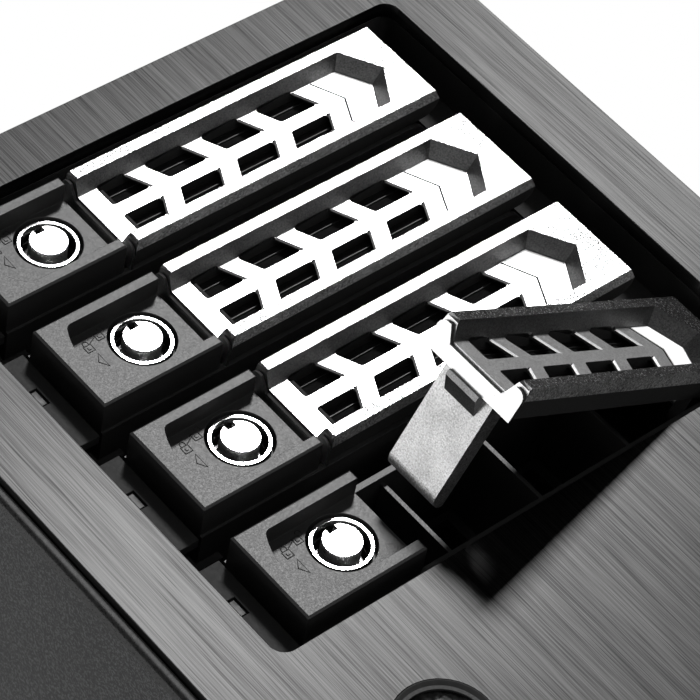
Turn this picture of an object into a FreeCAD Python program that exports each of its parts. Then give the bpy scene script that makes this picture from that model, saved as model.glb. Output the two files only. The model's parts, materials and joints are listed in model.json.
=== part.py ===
import FreeCAD, Part
import math
import os

# Four-bay desktop enclosure for 2.5-inch drives, standing on its feet.
# Millimetres. X is to the right seen from the front, Y runs from the front panel to the back, Z is up.
# Everything is laid out from the front panel's face (Y = 0) and the floor (Z = 0).
# The finished solids are then shifted along Y, so that the origin is under the middle of the whole.

V = FreeCAD.Vector
X_AXIS = V(1, 0, 0)
Y_AXIS = V(0, 1, 0)
Z_AXIS = V(0, 0, 1)

# Fits
RUN_GAP = 0.05
PRESS_GAP = 0.02
SLIDE_GAP = 0.15
SIDE_GAP = 1.2
PANEL_GAP = 0.25
END_GAP = 0.3

# Body
BODY_D = 200.0
FOOT_H = 6.0
FOOT_R = 8.0
FOOT_TOP_R = 9.0
FOOT_RECESS_R = 4.5
FOOT_RECESS_D = 2.5
FOOT_EDGE_R = 1.0
FOOT_INSET_X = 12.0
FOOT_INSET_Y = 18.0
SHEET_T = 1.2
COVER_T = 1.0
COVER_INSET = 0.2
COVER_EDGE_R = 2.0
BASE_FLANGE_H = 12.0

# Front panel, a flat brushed plate with the bay opening and the button hole
PANEL_W = 120.0
PANEL_H = 140.0
PANEL_T = 2.8
PANEL_CORNER_R = 1.5
BAY_COUNT = 4
BAY_PITCH = 22.0
BAY_W = 95.3
BAY_TOP_MARGIN = 8.75
BAY_CORNER_R = 2.4

# Bezel, a moulded frame with a rounded bead that carries the panel
BEAD_OUT = 1.1
BEAD_R = 2.4
BEAD_SETBACK = 0.5
BEZEL_BACK = 4.6
SLEEVE_T = 1.5
SLEEVE_BACK = 9.5
SLEEVE_CORNER_R = 1.0
LEDGE_Y = 5.3
LEDGE_T = 1.6
LEDGE_H = 17.8
LEDGE_GAP = 0.7
LIGHT_PIPE_UP = 1.3
LIGHT_PIPE_H = 2.6
LIGHT_PIPE_W = 0.8
LIGHT_PIPE_SUNK = 0.25
LIGHT_PIPE_X = 3.6
LIGHT_RECESS = 0.3
LIGHT_RECESS_D = 0.6

# Tray front, a moulded frame with the lock box at its left
TRAY_W = 81.0
LOCK_BOX_W = 21.3
LOCK_BOX_H = 16.4
LOCK_FLOOR_BACK = 8.0
LOCK_BOX_D = 17.0
LOCK_EDGE = 0.3
POCKET_D = 3.4
POCKET_RIM = 1.8
POCKET_R = 11.5
POCKET_CORNER_R = 1.2
POCKET_SWEEP_R = 4.0
FRAME_H = 17.2
FRAME_WALL = 1.0
FRAME_Y = 5.7
FRAME_BACK = 26.3
BACK_PLATE_T = 1.5
RIB_T = 0.7
RIB_Y = 7.2
ARM_CLEAR = 0.75
RIB_COUNT = 3
HINGE_LOBE_R = 4.0
POST_Y = 14.0
VENT_H = 5.4
VENT_SIDE = 2.0

# Lock
LOCK_FROM_EDGE = 7.1
LOCK_UP = 0.8
LOCK_RING_R = 4.6
LOCK_RING_W = 0.6
LOCK_RING_SUNK = 0.25
LOCK_GROOVE_D = 3.0
LOCK_HOLE_R = 5.1
LOCK_HOLE_D = 2.0
LOCK_BARREL_L = 8.6
PLUG_R = 2.88
PLUG_PROUD = 0.75
KEY_W = 1.5
KEY_H = 1.0
KEY_D = 2.5
CAM_T = 1.5
CAM_HUB_R = 4.4
CAM_REACH = 6.3
CAM_W = 4.0
PLUG_TAIL = 0.6

# Lever, one casting: channel with a chevron grille, hinge lugs, end plate and latch arm
LEVER_GAP = 1.0
LEVER_T = 5.3
LEVER_FACE_H = 16.3
LEVER_BAND_D = 2.0
LEVER_FLARE = 0.3
LEVER_TUCK = 0.35
LEVER_OVERHANG = 1.1
LEVER_END_BEVEL = 1.0
LEVER_HEEL_R = 2.6
CHANNEL_D = 2.8
CHANNEL_H = 12.7
CHANNEL_FLOOR_H = 10.5
CHANNEL_END_INSET = 8.6
CHANNEL_TIP = 4.0
CHANNEL_END_DRAFT = 1.7
LEVER_FLOOR_T = 0.6
LEVER_SKIRT_T = 1.6
LEVER_SOLID_END = 8.9
RAIL_CHAMFER = 0.4
END_PLATE_T = 0.45
END_PLATE_SETBACK = 0.9
END_PLATE_OUT = 0.3
END_PLATE_R = 1.3
END_CHEEK_W = 1.9
END_GROOVE_W = 0.2
END_LIP = 0.4
END_CORE_H = 9.6
SPINE_W = 2.3
GRILLE_COUNT = 4
GRILLE_INSET = 3.95
GRILLE_TO_GROOVE = 4.1
GRILLE_RIB_W = 3.37
GRILLE_SLOPE = 0.51
GRILLE_R = 0.6
GRILLE_EDGE = 0.1
GRILLE_BITE = 0.15
RIB_BEVEL_W = 0.4
RIB_BEVEL_D = 0.25
GROOVE_INSET = 3.5
GROOVE_W = 0.4
GROOVE_D = 0.35
ARM_INSET = 1.2
ARM_T = 3.6
ARM_H = 9.5
ARM_END_Y = 24.0
ARM_TAPER = 0.6
ARM_END_R = 0.6
ARM_ROUND_R = 2.2
TAB_H = 6.0
TAB_CLEAR = 0.45
TAB_Y = 5.6
TAB_FLAT = 0.9
TAB_RAMP = 3.2
PIVOT_Y = 9.9
LUG_R = 3.2
LUG_T = 2.0
LUG_OUT = 6.6
PIN_R = 1.0
LEVER_OPEN_DEG = 28.5

# Drive carrier behind the tray front
DRIVE_W = 69.85
DRIVE_L = 100.45
DRIVE_GAP = 0.3
CARRIER_H = 14.0
CARRIER_FLOOR_T = 1.2
CARRIER_WALL = 2.0
CARRIER_DROP = 0.2
RUNNER_W = 2.4
RUNNER_H = 2.6
DRIVE_HOLE_R = 1.6
DRIVE_HOLE_SPAN_X = 61.72
DRIVE_HOLE_SPAN_Y = 76.6
DRIVE_HOLE_FROM_END = 14.0
CARRIER_SLOT_W = 3.6
CARRIER_SLOT_L = 36.0
CARRIER_SLOT_PITCH = 10.0
CARRIER_SLOT_COUNT = 5
CARRIER_STRUT = 10.0
TRAY_SCREW_R = 1.0
TRAY_SCREW_HEAD_R = 1.9
TRAY_SCREW_HEAD_T = 1.0
TRAY_SCREW_L = 4.0
TRAY_SCREW_SPAN = 50.0
TRAY_SCREW_UP = 2.2
TRAY_LUG_L = 6.0
TRAY_LUG_W = 5.6

# Drive cage
CAGE_TAB_W = 4.6
CAGE_FLANGE_W = 9.0
CAGE_WINDOW_H = 5.0
CAGE_WINDOW_L = 70.0
CAGE_FOOT_W = 9.0
CAGE_SCREW_R = 1.5
CAGE_SCREW_HEAD_R = 2.8
CAGE_SCREW_HEAD_T = 1.8
CAGE_SCREW_INSET = 12.0
CAGE_TAIL = 7.0
STAND_LEG_Y = 20.0

# Backplane, sockets, controller board and rear ports
BOARD_T = 1.6
BOARD_MARGIN = 0.3
SOCKET_W = 42.0
SOCKET_H = 6.2
SOCKET_D = 6.0
SOCKET_SLOT_H = 2.4
SOCKET_SLOT_D = 4.0
SOCKET_WALL = 1.2
CONTROL_BOARD_W = 96.0
CONTROL_BOARD_CLEAR = 2.0
STANDOFF_H = 5.0
STANDOFF_R = 2.5
STANDOFF_INSET = 4.0
PORT_PROUD = 0.4
USB_X = -22.0
USB_W = 12.0
USB_H = 11.0
USB_L = 16.0
USB_SOCKET_W = 8.9
USB_SOCKET_H = 8.0
USB_SOCKET_D = 10.0
USB_TONGUE_W = 5.6
USB_TONGUE_H = 3.2
INLET_X = 18.0
INLET_W = 9.6
INLET_H = 11.0
INLET_L = 14.0
INLET_BORE_R = 3.2
INLET_PIN_R = 1.0
INLET_D = 9.5
PORT_GAP = 0.3

# Rear fan and its cut grille
FAN_W = 60.0
FAN_D = 15.0
FAN_Z_BELOW_TOP = 52.0
FAN_CORNER_R = 4.0
FAN_RIM = 1.8
FAN_HUB_R = 12.5
FAN_HUB_D = 11.0
FAN_AXLE_R = 1.5
FAN_BASE_T = 2.0
FAN_STRUT_W = 3.0
FAN_BLADES = 7
FAN_BLADE_T = 1.2
FAN_BLADE_CHORD = 12.0
FAN_BLADE_ROOT_DEG = 48.0
FAN_BLADE_TIP_DEG = 28.0
FAN_TIP_GAP = 0.8
FAN_HOLE_INSET = 5.0
FAN_SCREW_R = 1.8
FAN_SCREW_HEAD_R = 3.4
FAN_SCREW_HEAD_T = 1.8
FAN_GRILLE_RINGS = 4
FAN_GRILLE_WIRE = 1.8
FAN_GRILLE_HUB_R = 5.0
FAN_GRILLE_SPOKES = 4
FAN_GRILLE_SPOKE_W = 3.0

# Power button
BUTTON_FROM_EDGE = 23.2
BUTTON_BELOW_BAY = 20.7
BUTTON_R = 6.2
BUTTON_RING_W = 0.6
BUTTON_CHAMFER = 0.5
BUTTON_RIM_W = 0.1
BUTTON_SUNK = 0.3
BUTTON_DOME = 0.5
BUTTON_L = 5.0
BUTTON_TRAVEL = 1.2
BUTTON_FLANGE_R = 8.2
BUTTON_FLANGE_T = 1.2
BUTTON_BODY_BACK = 13.0
BUTTON_STEM_R = 2.0
SWITCH_W = 6.0
SWITCH_T = 3.5
BUTTON_BOARD_W = 22.0

# Cover screws
COVER_SCREW_R = 1.5
COVER_SCREW_HEAD_R = 3.0
COVER_SCREW_HEAD_T = 1.5
COVER_SCREW_UP = 7.0
COVER_SCREW_FRONT_Y = 60.0
COVER_SCREW_REAR_INSET = 12.0

# Levels and places worked out from the sizes above
BODY_Z0 = FOOT_H
PANEL_Z0 = BODY_Z0 + BEAD_OUT
PANEL_Z1 = PANEL_Z0 + PANEL_H
BODY_Z1 = PANEL_Z1 + BEAD_OUT
BODY_HALF = PANEL_W / 2 + BEAD_OUT
COVER_HALF = BODY_HALF - COVER_INSET
COVER_Z1 = BODY_Z1 - COVER_INSET
INNER_HALF = COVER_HALF - COVER_T - COVER_INSET
INNER_Z1 = COVER_Z1 - COVER_T - COVER_INSET
BASE_TOP = BODY_Z0 + SHEET_T
REAR_Y = BODY_D - SHEET_T
BAY_Z1 = PANEL_Z1 - BAY_TOP_MARGIN
BAY_Z0 = BAY_Z1 - BAY_COUNT * BAY_PITCH
TRAY_MIDS = [BAY_Z1 - BAY_PITCH * (i + 0.5) for i in range(BAY_COUNT)]
TRAY_HALF = TRAY_W / 2
LOCK_BOX_X1 = -TRAY_HALF + LOCK_BOX_W
LOCK_X = LOCK_BOX_X1 - LOCK_FROM_EDGE
LEVER_X0 = LOCK_BOX_X1 + LEVER_GAP
RAIL_X0 = LEVER_X0 + END_PLATE_T + END_GROOVE_W
LEVER_X1 = TRAY_HALF + LEVER_OVERHANG
PIVOT_X = TRAY_HALF - HINGE_LOBE_R
CHANNEL_END_X = LEVER_X1 - CHANNEL_END_INSET
GROOVE_TIP_X = CHANNEL_END_X - GROOVE_INSET
GRILLE_X0 = LEVER_X0 + GRILLE_INSET
FLOOR_FAR = CHANNEL_FLOOR_H / 2 - GRILLE_EDGE
GRILLE_FAR = CHANNEL_FLOOR_H / 2 + GRILLE_BITE
GRILLE_X1 = GROOVE_TIP_X - GRILLE_TO_GROOVE
GRILLE_PITCH = (GRILLE_X1 - GRILLE_X0 + GRILLE_RIB_W) / GRILLE_COUNT
ARM_X = LEVER_X0 + ARM_INSET
RIB_X0 = ARM_X + ARM_T + ARM_CLEAR + RIB_T / 2
RIB_PITCH = (TRAY_HALF - FRAME_WALL - RIB_X0) / RIB_COUNT
FRAME_HALF = FRAME_H / 2
FRAME_INNER = FRAME_HALF - FRAME_WALL
CARRIER_Z0 = -FRAME_HALF - CARRIER_DROP
CARRIER_FLOOR = CARRIER_Z0 + CARRIER_FLOOR_T
CARRIER_INNER = DRIVE_W / 2 + DRIVE_GAP
CARRIER_OUTER = CARRIER_INNER + CARRIER_WALL
DRIVE_Y0 = FRAME_BACK + TRAY_LUG_L + DRIVE_GAP
CARRIER_BACK = DRIVE_Y0 + DRIVE_L + DRIVE_GAP
CAGE_INNER = TRAY_HALF + SIDE_GAP
CAGE_OUTER = CAGE_INNER + SHEET_T
CAGE_Y0 = SLEEVE_BACK
CAGE_Y1 = CARRIER_BACK + CAGE_TAIL
BUTTON_X = -PANEL_W / 2 + BUTTON_FROM_EDGE
BUTTON_Z = BAY_Z0 - BUTTON_BELOW_BAY
BUTTON_BEVEL_R = BUTTON_R + RUN_GAP + BUTTON_RING_W + BUTTON_CHAMFER
BUTTON_RING_R = BUTTON_BEVEL_R + BUTTON_RIM_W
FAN_Z = BODY_Z1 - FAN_Z_BELOW_TOP
FAN_BORE_R = FAN_W / 2 - FAN_RIM
FAN_GRILLE_PITCH = (FAN_BORE_R - FAN_GRILLE_HUB_R + FAN_GRILLE_WIRE) / FAN_GRILLE_RINGS
CONTROL_BOARD_Z = BASE_TOP + STANDOFF_H
CONTROL_BOARD_Y = (CAGE_Y1 + CONTROL_BOARD_CLEAR, REAR_Y - PORT_GAP)
OPEN_TRAY = BAY_COUNT - 1


def block(x, y, z):
    """A box between three (low, high) pairs."""
    return Part.makeBox(x[1] - x[0], y[1] - y[0], z[1] - z[0], V(x[0], y[0], z[0]))


def rod_y(x, z, y, radius):
    return Part.makeCylinder(radius, y[1] - y[0], V(x, y[0], z), Y_AXIS)


def rod_z(x, y, z, radius):
    return Part.makeCylinder(radius, z[1] - z[0], V(x, y, z[0]), Z_AXIS)


def rod_x(y, z, x, radius):
    return Part.makeCylinder(radius, x[1] - x[0], V(x[0], y, z), X_AXIS)


def about(middle, width):
    """The (low, high) pair of a width centred on a place."""
    return (middle - width / 2, middle + width / 2)


def edges_along(solid, axis):
    """Straight edges that run along an axis."""
    return [
        e for e in solid.Edges
        if isinstance(e.Curve, Part.Line) and abs(abs(e.Curve.Direction.dot(axis)) - 1) < 1e-6
    ]


def rounded_block(x, y, z, radius, axis=Y_AXIS):
    solid = block(x, y, z)
    return solid.makeFillet(radius, edges_along(solid, axis))


def prism(points, sweep):
    return Part.Face(Part.makePolygon(points + points[:1])).extrude(sweep)


def plan_prism(points, z):
    """An outline in plan (X, Y), raised from one height to another."""
    return prism([V(px, py, z[0]) for px, py in points], V(0, 0, z[1] - z[0]))


def front_prism(points, y):
    """An outline seen from the front (X, Z), run from one depth to another."""
    return prism([V(px, y[0], pz) for px, pz in points], V(0, y[1] - y[0], 0))


def mirrored(solid):
    """The same piece on the other side of the middle plane."""
    return solid.mirror(V(0, 0, 0), X_AXIS)


def corner_edges(solid, axis, places):
    """Edges along an axis that start at one of the given (first, second) places across it."""
    def across(edge):
        p = edge.Vertexes[0].Point
        return (p.x, p.y) if axis is Z_AXIS else (p.x, p.z)
    return [
        e for e in edges_along(solid, axis)
        if any(abs(across(e)[0] - a) < 1e-4 and abs(across(e)[1] - b) < 1e-4 for a, b in places)
    ]


# Front panel and bezel

def bay_opening(y, radius, grow=0.0):
    return rounded_block(
        (-BAY_W / 2 - grow, BAY_W / 2 + grow), y, (BAY_Z0 - grow, BAY_Z1 + grow), radius + grow)


def front_panel():
    plate = rounded_block((-PANEL_W / 2, PANEL_W / 2), (0, PANEL_T), (PANEL_Z0, PANEL_Z1), PANEL_CORNER_R)
    hole = rod_y(BUTTON_X, BUTTON_Z, (0, PANEL_T), BUTTON_RING_R + PRESS_GAP)
    return plate.cut([bay_opening((0, PANEL_T), BAY_CORNER_R), hole])


def front_bezel():
    outer = rounded_block(
        (-BODY_HALF, BODY_HALF), (BEAD_SETBACK, BEZEL_BACK), (BODY_Z0, BODY_Z1), PANEL_CORNER_R + BEAD_OUT)
    front_rim = [e for e in outer.Edges if all(abs(v.Point.y - BEAD_SETBACK) < 1e-6 for v in e.Vertexes)]
    outer = outer.makeFillet(BEAD_R, front_rim)
    seat = rounded_block(
        (-PANEL_W / 2 - PANEL_GAP, PANEL_W / 2 + PANEL_GAP), (0, PANEL_T),
        (PANEL_Z0 - PANEL_GAP, PANEL_Z1 + PANEL_GAP), PANEL_CORNER_R + PANEL_GAP)
    button_hole = rod_y(BUTTON_X, BUTTON_Z, (PANEL_T, BEZEL_BACK), BUTTON_RING_R + PRESS_GAP)
    sleeve_y = (PANEL_T, SLEEVE_BACK)
    frame = outer.cut([seat, button_hole]).fuse(bay_opening(sleeve_y, SLEEVE_CORNER_R, SLEEVE_T))
    frame = frame.cut(bay_opening(sleeve_y, SLEEVE_CORNER_R))
    ledges = []
    for mid in TRAY_MIDS:
        ledge = block(
            (-BAY_W / 2, -TRAY_HALF - LEDGE_GAP), (LEDGE_Y, LEDGE_Y + LEDGE_T), about(mid, LEDGE_H))
        recess = light_pipe(mid, (LEDGE_Y, LEDGE_Y + LIGHT_RECESS_D), LIGHT_RECESS)
        hole = light_pipe(mid, (LEDGE_Y, LEDGE_Y + LEDGE_T), PRESS_GAP)
        ledges.append(ledge.cut([recess, hole]))
    return frame.fuse(ledges).removeSplitter()


def light_pipe(mid, y, grow=0.0):
    """A small clear block beside its tray, or the recess or hole round it."""
    return block(
        about(-BAY_W / 2 + LIGHT_PIPE_X, LIGHT_PIPE_W + 2 * grow), y,
        about(mid + LIGHT_PIPE_UP, LIGHT_PIPE_H + 2 * grow))


def status_light_pipes():
    y = (LEDGE_Y + LIGHT_PIPE_SUNK, LEDGE_Y + LEDGE_T)
    return [light_pipe(mid, y) for mid in TRAY_MIDS]


# Tray front with its lock box, built round the tray's middle height

def lock_box():
    x = (-TRAY_HALF, LOCK_BOX_X1)
    half = LOCK_BOX_H / 2
    body = block(x, (0, LOCK_BOX_D), (-half, half))
    front_edges = [e for e in body.Edges if all(abs(v.Point.y) < 1e-6 for v in e.Vertexes)]
    body = body.makeChamfer(LOCK_EDGE, front_edges)
    reach = half - POCKET_RIM
    scoop = rod_y(LOCK_X, 0, (0, POCKET_D), POCKET_R)
    scoop = scoop.fuse(block((LOCK_X, LOCK_BOX_X1 + POCKET_R), (0, POCKET_D), (-POCKET_R, POCKET_R)))
    pocket = scoop.common(block((LOCK_X - POCKET_R, LOCK_BOX_X1), (0, POCKET_D), (-reach, reach)))
    pocket = pocket.removeSplitter()
    left = LOCK_X - math.sqrt(POCKET_R ** 2 - reach ** 2)
    pocket = pocket.makeFillet(POCKET_CORNER_R, corner_edges(pocket, Y_AXIS, [(left, reach)]))
    pocket = pocket.makeFillet(POCKET_SWEEP_R, corner_edges(pocket, Y_AXIS, [(left, -reach)]))
    ring_hole = rod_y(LOCK_X, LOCK_UP, (POCKET_D, POCKET_D + LOCK_HOLE_D), LOCK_HOLE_R)
    barrel_hole = rod_y(LOCK_X, LOCK_UP, (POCKET_D, LOCK_FLOOR_BACK), LOCK_RING_R + PRESS_GAP)
    rear = block(
        (x[0] + FRAME_WALL, LOCK_BOX_X1), (LOCK_FLOOR_BACK, LOCK_BOX_D), (-FRAME_INNER, FRAME_INNER))
    return body.cut([pocket, ring_hole, barrel_hole, rear])


def frame_wall():
    """Top wall of the tray frame, with a lobe round the hinge pin, clear of the lever's heel."""
    z = (FRAME_INNER, FRAME_HALF)
    wall = block((-TRAY_HALF, PIVOT_X), (FRAME_Y, FRAME_BACK), z)
    wall = wall.fuse([
        block((PIVOT_X, TRAY_HALF), (PIVOT_Y, FRAME_BACK), z),
        rod_z(PIVOT_X, PIVOT_Y, z, HINGE_LOBE_R)])
    return wall.removeSplitter()


def tray_front():
    top = frame_wall()
    bottom = top.mirror(V(0, 0, 0), Z_AXIS)
    inside = (-FRAME_INNER, FRAME_INNER)
    left = block((-TRAY_HALF, -TRAY_HALF + FRAME_WALL), (LOCK_BOX_D, FRAME_BACK), inside)
    right = block((TRAY_HALF - FRAME_WALL, TRAY_HALF), (POST_Y, FRAME_BACK), inside)
    back = block((-TRAY_HALF, TRAY_HALF), (FRAME_BACK - BACK_PLATE_T, FRAME_BACK), inside)
    rib_xs = [RIB_X0 + RIB_PITCH * i for i in range(RIB_COUNT)]
    ribs = [block(about(rx, RIB_T), (RIB_Y, FRAME_BACK), inside) for rx in rib_xs]
    frame = lock_box().fuse([top, bottom, left, right, back] + ribs)
    back_y = (FRAME_BACK - BACK_PLATE_T, FRAME_BACK)
    rows = (-FRAME_INNER / 2, FRAME_INNER / 2)
    vents = [
        block((a + VENT_SIDE, b - VENT_SIDE), back_y, about(row, VENT_H))
        for a, b in zip(rib_xs, rib_xs[1:]) for row in rows]
    pin_hole = rod_z(PIVOT_X, PIVOT_Y, (-FRAME_HALF, FRAME_HALF), PIN_R + PRESS_GAP)
    screw_holes = [
        rod_y(sx, sz, back_y, TRAY_SCREW_R + RUN_GAP) for sx, sz in tray_screw_places()]
    return frame.cut(vents + screw_holes + [pin_hole]).removeSplitter()


def tray_screw_places():
    return [(sx, TRAY_SCREW_UP) for sx in about(0, TRAY_SCREW_SPAN)]


def tray_carrier():
    """Open-topped sled for one drive: vented floor, two side walls, runners and two screw lugs."""
    y = (FRAME_BACK, CARRIER_BACK)
    floor = block((-CARRIER_OUTER, CARRIER_OUTER), y, (CARRIER_Z0, CARRIER_FLOOR))
    wall = block((CARRIER_INNER, CARRIER_OUTER), y, (CARRIER_Z0, CARRIER_Z0 + CARRIER_H))
    runner = block((CARRIER_OUTER, CARRIER_OUTER + RUNNER_W), y, (CARRIER_Z0, CARRIER_Z0 + RUNNER_H))
    lug = block(
        about(TRAY_SCREW_SPAN / 2, TRAY_LUG_W), (FRAME_BACK, FRAME_BACK + TRAY_LUG_L),
        (CARRIER_Z0, TRAY_SCREW_UP + TRAY_LUG_W / 2))
    sled = floor.fuse([wall, runner, lug, mirrored(wall), mirrored(runner), mirrored(lug)])
    middle = DRIVE_Y0 + DRIVE_L / 2
    offset = (CARRIER_SLOT_L + CARRIER_STRUT) / 2
    first = -CARRIER_SLOT_PITCH * (CARRIER_SLOT_COUNT - 1) / 2
    slots = [
        block(about(first + i * CARRIER_SLOT_PITCH, CARRIER_SLOT_W),
              about(middle + side * offset, CARRIER_SLOT_L), (CARRIER_Z0, CARRIER_FLOOR))
        for i in range(CARRIER_SLOT_COUNT) for side in (-1, 1)]
    rear_row = y[1] - DRIVE_GAP - DRIVE_HOLE_FROM_END
    holes = [
        rod_z(hx, hy, (CARRIER_Z0, CARRIER_FLOOR), DRIVE_HOLE_R)
        for hx in about(0, DRIVE_HOLE_SPAN_X) for hy in (rear_row, rear_row - DRIVE_HOLE_SPAN_Y)]
    screw_holes = [
        rod_y(sx, sz, (FRAME_BACK, FRAME_BACK + TRAY_LUG_L), TRAY_SCREW_R + PRESS_GAP)
        for sx, sz in tray_screw_places()]
    return sled.cut(slots + holes + screw_holes).removeSplitter()


def lock_barrel():
    y0 = POCKET_D + LOCK_RING_SUNK
    body = rod_y(LOCK_X, LOCK_UP, (y0, y0 + LOCK_BARREL_L), LOCK_RING_R)
    groove = rod_y(LOCK_X, LOCK_UP, (y0, y0 + LOCK_GROOVE_D), LOCK_RING_R - LOCK_RING_W)
    bore = rod_y(LOCK_X, LOCK_UP, (y0, y0 + LOCK_BARREL_L), PLUG_R + RUN_GAP)
    return body.cut([groove, bore])


def cam_range():
    y0 = POCKET_D + LOCK_RING_SUNK + LOCK_BARREL_L + END_GAP
    return (y0, y0 + CAM_T)


def lock_plug():
    y = (POCKET_D + LOCK_RING_SUNK - PLUG_PROUD, cam_range()[1] + PLUG_TAIL)
    body = rod_y(LOCK_X, LOCK_UP, y, PLUG_R)
    top = LOCK_UP + PLUG_R
    keyway = block(about(LOCK_X, KEY_W), (y[0], y[0] + KEY_D), (top - KEY_H, top))
    return body.cut(keyway)


def lock_cam():
    hub = rod_y(LOCK_X, LOCK_UP, cam_range(), CAM_HUB_R)
    tongue = block(about(LOCK_X, CAM_W), cam_range(), (LOCK_UP, LOCK_UP + CAM_REACH))
    bore = rod_y(LOCK_X, LOCK_UP, cam_range(), PLUG_R + PRESS_GAP)
    return hub.fuse(tongue).cut(bore).removeSplitter()


# Lever, built closed and round the tray's middle height

def lever_blank():
    face = LEVER_FACE_H / 2
    wide = face + LEVER_FLARE
    section = [(0, face), (LEVER_BAND_D, wide), (LEVER_T, wide - LEVER_TUCK)]
    section += [(sy, -sz) for sy, sz in reversed(section)]
    bar = prism([V(RAIL_X0, sy, sz) for sy, sz in section], V(LEVER_X1 - RAIL_X0, 0, 0))
    plan = plan_prism(
        [(RAIL_X0, RAIL_CHAMFER), (RAIL_X0 + RAIL_CHAMFER, 0), (LEVER_X1 - LEVER_END_BEVEL, 0),
         (LEVER_X1, LEVER_BAND_D), (LEVER_X1, LEVER_T), (RAIL_X0, LEVER_T)], (-wide, wide))
    plan = plan.makeFillet(LEVER_HEEL_R, corner_edges(plan, Z_AXIS, [(LEVER_X1, LEVER_T)]))
    return bar.common(plan)


def lever_channel():
    """Drafted finger channel, open at the lock end, with a pointed far end."""
    def outline(y, half, draft):
        end = CHANNEL_END_X - draft / 2
        tip = CHANNEL_END_X + CHANNEL_TIP - draft
        corners = [(RAIL_X0, -half), (end, -half), (tip, 0), (end, half), (RAIL_X0, half)]
        points = [V(cx, y, cz) for cx, cz in corners]
        return Part.makePolygon(points + points[:1])
    mouth = outline(0, CHANNEL_H / 2, 0)
    floor = outline(CHANNEL_D, CHANNEL_FLOOR_H / 2, CHANNEL_END_DRAFT)
    return Part.makeLoft([mouth, floor], True, True)


def rib_bevel(near, far):
    """Slanted cut along a rib's left edge, from a (X, Z) place by the spine to one by the rail."""
    def outline(y, shift):
        corners = [(near[0] - RIB_BEVEL_W, near[1]), (near[0] + shift, near[1]),
                   (far[0] + shift, far[1]), (far[0] - RIB_BEVEL_W, far[1])]
        points = [V(cx, y, cz) for cx, cz in corners]
        return Part.makePolygon(points + points[:1])
    top = outline(CHANNEL_D - GRILLE_EDGE, RIB_BEVEL_W)
    return Part.makeLoft([top, outline(CHANNEL_D + RIB_BEVEL_D, 0)], True, True)


def grille_openings():
    """Slanted openings on both sides of the spine that run up into the channel's drafted walls."""
    near = SPINE_W / 2
    far = GRILLE_FAR
    lean = GRILLE_SLOPE * (far - near)
    bevel_lean = GRILLE_SLOPE * (FLOOR_FAR - near)
    openings = []
    for i in range(GRILLE_COUNT):
        start = GRILLE_X0 + i * GRILLE_PITCH
        tip = start + GRILLE_PITCH - GRILLE_RIB_W
        start_far = start - lean if i else start
        for side in (-1, 1):
            inner = [(start, side * near), (tip, side * near)]
            outer = [(tip - lean, side * far), (start_far, side * far)]
            opening = front_prism(inner + outer, (CHANNEL_D / 2, LEVER_T))
            openings.append(opening.makeFillet(GRILLE_R, edges_along(opening, Y_AXIS)))
            openings.append(rib_bevel((tip, side * near), (tip - bevel_lean, side * FLOOR_FAR)))
    return openings


def pad_groove():
    """Fine chevron line between the grille and the finger pad."""
    half = FLOOR_FAR
    lean = GRILLE_SLOPE * half
    left = [(GROOVE_TIP_X - lean, -half), (GROOVE_TIP_X, 0), (GROOVE_TIP_X - lean, half)]
    right = [(gx + GROOVE_W, gz) for gx, gz in reversed(left)]
    return front_prism(left + right, (CHANNEL_D - GRILLE_EDGE, CHANNEL_D + GROOVE_D))


def latch_arm():
    root = CHANNEL_D + LEVER_FLOOR_T / 2
    inner = ARM_X + ARM_T
    arm = plan_prism(
        [(ARM_X, root), (inner, root), (inner, ARM_END_Y), (ARM_X + ARM_TAPER, ARM_END_Y)],
        about(0, ARM_H))
    arm = arm.makeFillet(ARM_END_R, corner_edges(arm, Z_AXIS, [(inner, ARM_END_Y)]))
    arm = arm.makeFillet(ARM_ROUND_R, corner_edges(arm, Z_AXIS, [(ARM_X + ARM_TAPER, ARM_END_Y)]))
    tip = LOCK_BOX_X1 + TAB_CLEAR
    inside = ARM_X + ARM_TAPER
    tab = plan_prism(
        [(inside, TAB_Y), (tip, TAB_Y), (tip, TAB_Y + TAB_FLAT), (inside, TAB_Y + TAB_FLAT + TAB_RAMP)],
        about(0, TAB_H))
    return arm.fuse(tab)


def hinge_lugs():
    root = CHANNEL_D + LEVER_FLOOR_T / 2
    lugs = []
    for z in ((LUG_OUT - LUG_T, LUG_OUT), (-LUG_OUT, -LUG_OUT + LUG_T)):
        web = block(about(PIVOT_X, 2 * LUG_R), (root, PIVOT_Y), z)
        lugs.append(web.fuse(rod_z(PIVOT_X, PIVOT_Y, z, LUG_R)))
    return lugs


def end_plate():
    """Plate across the lock end, with two rounded cheeks, held a little off the rails by a core."""
    outer = LEVER_FACE_H / 2 + END_PLATE_OUT
    lip = CHANNEL_D + END_LIP
    back = LEVER_T + END_PLATE_OUT
    plate = block((LEVER_X0, LEVER_X0 + END_PLATE_T), (END_PLATE_SETBACK, back), (-outer, outer))
    front = [e for e in edges_along(plate, X_AXIS) if abs(e.Vertexes[0].Point.y - END_PLATE_SETBACK) < 1e-6]
    plate = plate.makeFillet(END_PLATE_R, front)
    inner = outer - END_CHEEK_W
    mouth = [(END_PLATE_SETBACK, inner), (lip, FLOOR_FAR), (lip, -FLOOR_FAR), (END_PLATE_SETBACK, -inner)]
    gap = prism([V(LEVER_X0, py, pz) for py, pz in mouth], V(END_PLATE_T, 0, 0))
    core = block((LEVER_X0, RAIL_X0 + LEVER_SKIRT_T), (lip, LEVER_T), about(0, END_CORE_H))
    return plate.cut(gap).fuse(core)


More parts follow.
